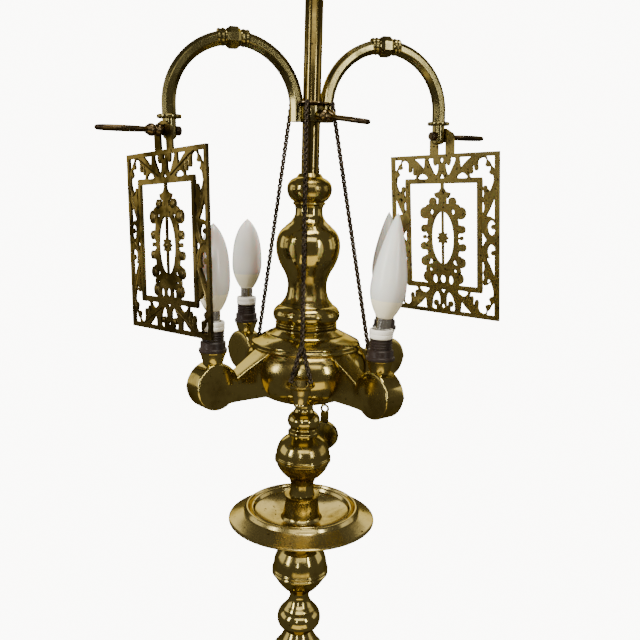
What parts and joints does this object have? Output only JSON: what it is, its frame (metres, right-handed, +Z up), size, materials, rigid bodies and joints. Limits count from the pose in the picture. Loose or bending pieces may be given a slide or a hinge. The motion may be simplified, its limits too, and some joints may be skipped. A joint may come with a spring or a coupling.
{
  "type": "floor lamp",
  "caption": "Turned floor lamp with spouted reservoir, candle bulbs, two arched arms carrying swinging pierced screens, and chains with small hanging tools.",
  "frame": {"origin": "centre of the felt sheet under the base, at floor level", "axes": "+Z up along the stem, +X to the viewer's right and -Y towards the viewer"},
  "size_m": [0.4265, 0.3025, 1.6423],
  "materials": {
    "brass": "polished, with brown patina",
    "aged_brass": "satin, tarnished",
    "dark_bronze": "darkened, worn bright on the edges",
    "dark_chain": "blackened links",
    "screen_brass": "satin, flat cut plate",
    "iron": "rough cast",
    "steel": "turned",
    "felt": "felt",
    "holder_brown": "moulded",
    "porcelain": "glazed",
    "bulb_white": "frosted",
    "cable": "soft sheath"
  },
  "bodies": {
    "stand": {"base_foot": "brass", "base_urn": "brass", "column": "brass", "baluster": "brass", "lower_knop": "brass", "lower_ball": "brass", "drip_pan": "brass", "upper_ball": "brass", "small_knop": "brass", "vase_foot": "brass", "vase_body": "brass", "vase_knob": "brass", "reservoir": "brass", "reservoir_lid": "brass", "upper_rod": "brass", "finial": "brass", "spout_neck_left_front": "brass", "spout_neck_right_front": "brass", "spout_neck_right_rear": "brass", "spout_neck_left_rear": "brass", "base_weight": "iron", "base_nut": "steel", "tie_rod": "steel", "base_felt": "felt", "lampholder_left_front": "holder_brown", "lampholder_right_front": "holder_brown", "lampholder_right_rear": "holder_brown", "lampholder_left_rear": "holder_brown", "porcelain_ring_left_front": "porcelain", "porcelain_ring_right_front": "porcelain", "porcelain_ring_right_rear": "porcelain", "porcelain_ring_left_rear": "porcelain", "bulb_left_front": "bulb_white", "bulb_right_front": "bulb_white", "bulb_right_rear": "bulb_white", "bulb_left_rear": "bulb_white", "inner_lead": "cable", "cable_gland": "cable"},
    "slider": {"collar_bush": "steel"},
    "hanger": {"collar": "aged_brass", "chain_hoop": "dark_bronze", "arm_left": "aged_brass", "arm_right": "aged_brass", "chain_left": "dark_chain", "chain_right": "dark_chain", "chain_rear": "dark_chain", "chain_front": "dark_chain", "snuffer_bucket": "dark_bronze", "wick_trimmer": "dark_bronze", "wick_pick": "dark_bronze", "tweezers": "dark_bronze"},
    "collar_screw": {"collar_thumbscrew": "dark_bronze"},
    "left_swivel": {"left_stub": "aged_brass", "left_end_nut": "dark_bronze"},
    "left_panel": {"screen_left": "screen_brass"},
    "left_screw": {"left_thumbscrew": "dark_bronze"},
    "right_swivel": {"right_stub": "aged_brass", "right_end_nut": "dark_bronze"},
    "right_panel": {"screen_right": "screen_brass"},
    "right_screw": {"right_thumbscrew": "dark_bronze"}
  },
  "joints": [
    {"name": "collar_slide", "type": "slide", "parent": "stand", "child": "slider", "axis": [0, 0, 1], "range_m": [0, 0.1]},
    {"name": "collar_turn", "type": "hinge", "parent": "slider", "child": "hanger", "pos_m": [0, 0, 1.4052], "axis": [0, 0, 1], "range_deg": [-1, 18]},
    {"name": "collar_screw_turn", "type": "hinge", "parent": "hanger", "child": "collar_screw", "pos_m": [0, 0, 1.4052], "axis": [0.6097, -0.7803, -0.1392], "range_deg": [-180, 180]},
    {"name": "left_swivel_turn", "type": "hinge", "parent": "hanger", "child": "left_swivel", "pos_m": [-0.14493, -0.04486, 1.39222], "axis": [-0.025, -0.0077, 0.9997], "range_deg": [-120, 5]},
    {"name": "left_panel_swing", "type": "hinge", "parent": "left_swivel", "child": "left_panel", "pos_m": [-0.14463, -0.04477, 1.38023], "axis": [0.7544, 0.656, 0.0239], "range_deg": [-34, 40]},
    {"name": "left_screw_turn", "type": "hinge", "parent": "left_swivel", "child": "left_screw", "pos_m": [-0.14463, -0.04477, 1.38023], "axis": [-0.7544, -0.656, -0.0239], "range_deg": [-180, 180]},
    {"name": "right_swivel_turn", "type": "hinge", "parent": "hanger", "child": "right_swivel", "pos_m": [0.14538, 0.045, 1.40018], "axis": [-0.025, -0.0077, 0.9997], "range_deg": [-120, 12]},
    {"name": "right_panel_swing", "type": "hinge", "parent": "right_swivel", "child": "right_panel", "pos_m": [0.14568, 0.0451, 1.38819], "axis": [-0.7544, -0.656, -0.0239], "range_deg": [-38, 36]},
    {"name": "right_screw_turn", "type": "hinge", "parent": "right_swivel", "child": "right_screw", "pos_m": [0.14568, 0.0451, 1.38819], "axis": [0.7544, 0.656, 0.0239], "range_deg": [-180, 180]}
  ]
}
